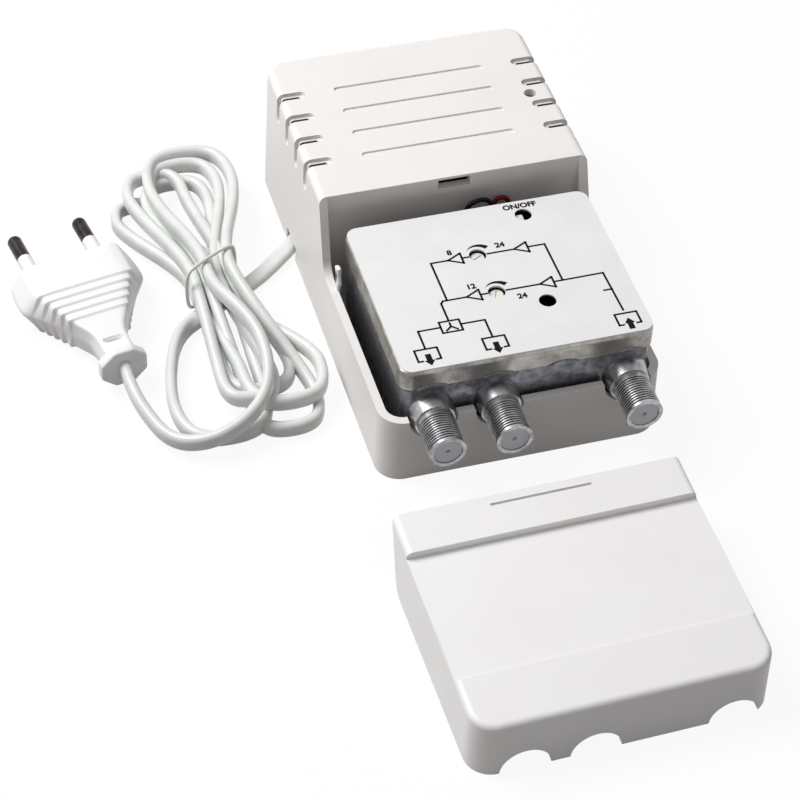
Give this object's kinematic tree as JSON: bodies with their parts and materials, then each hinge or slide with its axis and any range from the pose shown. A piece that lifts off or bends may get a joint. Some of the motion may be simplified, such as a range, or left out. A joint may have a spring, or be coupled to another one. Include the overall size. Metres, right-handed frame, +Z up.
{
  "type": "tv signal amplifier",
  "caption": "Mains powered aerial amplifier: moulded housing with a power supply hump, shielded module with threaded sockets, lift-off cover and a tied cord with a flat plug.",
  "frame": {"origin": "middle of the housing's underside", "axes": "X across the housing, Y from the sockets to the hump, Z up"},
  "size_m": [0.1542, 0.2288, 0.04],
  "materials": {
    "housing_plastic": "moulded, slightly glossy",
    "cover_plastic": "moulded, slightly glossy",
    "plate_plastic": "moulded",
    "die_cast": "rough cast",
    "tinplate": "bright sheet, slightly stained",
    "label_print": "satin printed",
    "screw_steel": "zinc plated",
    "contact_brass": "plated spring brass",
    "insulator_white": "moulded",
    "board_green": "solder mask",
    "board_tan": "paper laminate",
    "part_black": "moulded",
    "trimmer_white": "moulded",
    "lamp_red": "tinted clear",
    "copper_wire": "enamelled",
    "ferrite_grey": "sintered",
    "can_aluminium": "drawn can",
    "core_steel": "lacquered laminations",
    "winding_tape": "wrapped tape",
    "sleeve_blue": "shrunk sleeve",
    "fuse_glass": "clear tube",
    "insulation_black": "insulation",
    "insulation_red": "insulation",
    "insulation_blue": "insulation",
    "cord_white": "flexible sheath",
    "plug_white": "moulded",
    "pin_nickel": "dark nickel plate",
    "tie_white": "coated wire"
  },
  "bodies": {
    "housing": {"upper_housing": "housing_plastic", "rear_plate": "plate_plastic", "rear_plate_screws": "screw_steel", "socket_snouts": "die_cast", "module_screws": "screw_steel", "rf_tub": "die_cast", "rf_lid": "tinplate", "rf_label": "label_print", "rf_board": "board_green", "rf_board_screws": "screw_steel", "socket_insulators": "insulator_white", "socket_contacts": "contact_brass", "vhf_trimmer_body": "part_black", "uhf_trimmer_body": "part_black", "switch_body": "part_black", "preamp_lamp": "lamp_red", "amplifier_chips": "part_black", "filter_coils": "copper_wire", "splitter_ferrite": "ferrite_grey", "rf_capacitors": "can_aluminium", "rf_shield": "tinplate", "power_board": "board_tan", "power_board_screws": "screw_steel", "transformer_core": "core_steel", "transformer_bobbin": "part_black", "transformer_windings": "winding_tape", "reservoir_capacitor": "sleeve_blue", "bridge_rectifier": "part_black", "voltage_regulator": "part_black", "regulator_heat_sink": "can_aluminium", "mains_fuse": "fuse_glass", "fuse_clips": "contact_brass", "power_lamp": "lamp_red", "power_lamp_bracket": "part_black", "black_wire": "insulation_black", "red_wire": "insulation_red", "mains_wires": "insulation_blue", "cord_clamp": "part_black", "cord_clamp_screws": "screw_steel", "cord_lead": "cord_white", "cord_hank": "cord_white", "cord_tail": "cord_white", "hank_tie": "tie_white", "plug_body": "plug_white", "plug_pins": "pin_nickel", "pin_sleeves": "plug_white"},
    "cover": {"front_cover": "cover_plastic"},
    "slider": {"switch_slider": "trimmer_white"},
    "vhf_rotor": {"vhf_trimmer_rotor": "trimmer_white"},
    "uhf_rotor": {"uhf_trimmer_rotor": "trimmer_white"}
  },
  "joints": [
    {"name": "cover_lift", "type": "slide", "parent": "housing", "child": "cover", "axis": [0.0482, 0.6852, 0.7267], "range_m": [0, 0.1348]},
    {"name": "switch_slide", "type": "slide", "parent": "housing", "child": "slider", "axis": [1, 0, 0], "range_m": [0, 0.002]},
    {"name": "vhf_turn", "type": "hinge", "parent": "housing", "child": "vhf_rotor", "pos_m": [-0.0011, -0.0222, 0.0273], "axis": [0, 0, 1], "range_deg": [-120, 120]},
    {"name": "uhf_turn", "type": "hinge", "parent": "housing", "child": "uhf_rotor", "pos_m": [-0.0006, -0.0366, 0.0273], "axis": [0, 0, 1], "range_deg": [-120, 120]}
  ]
}
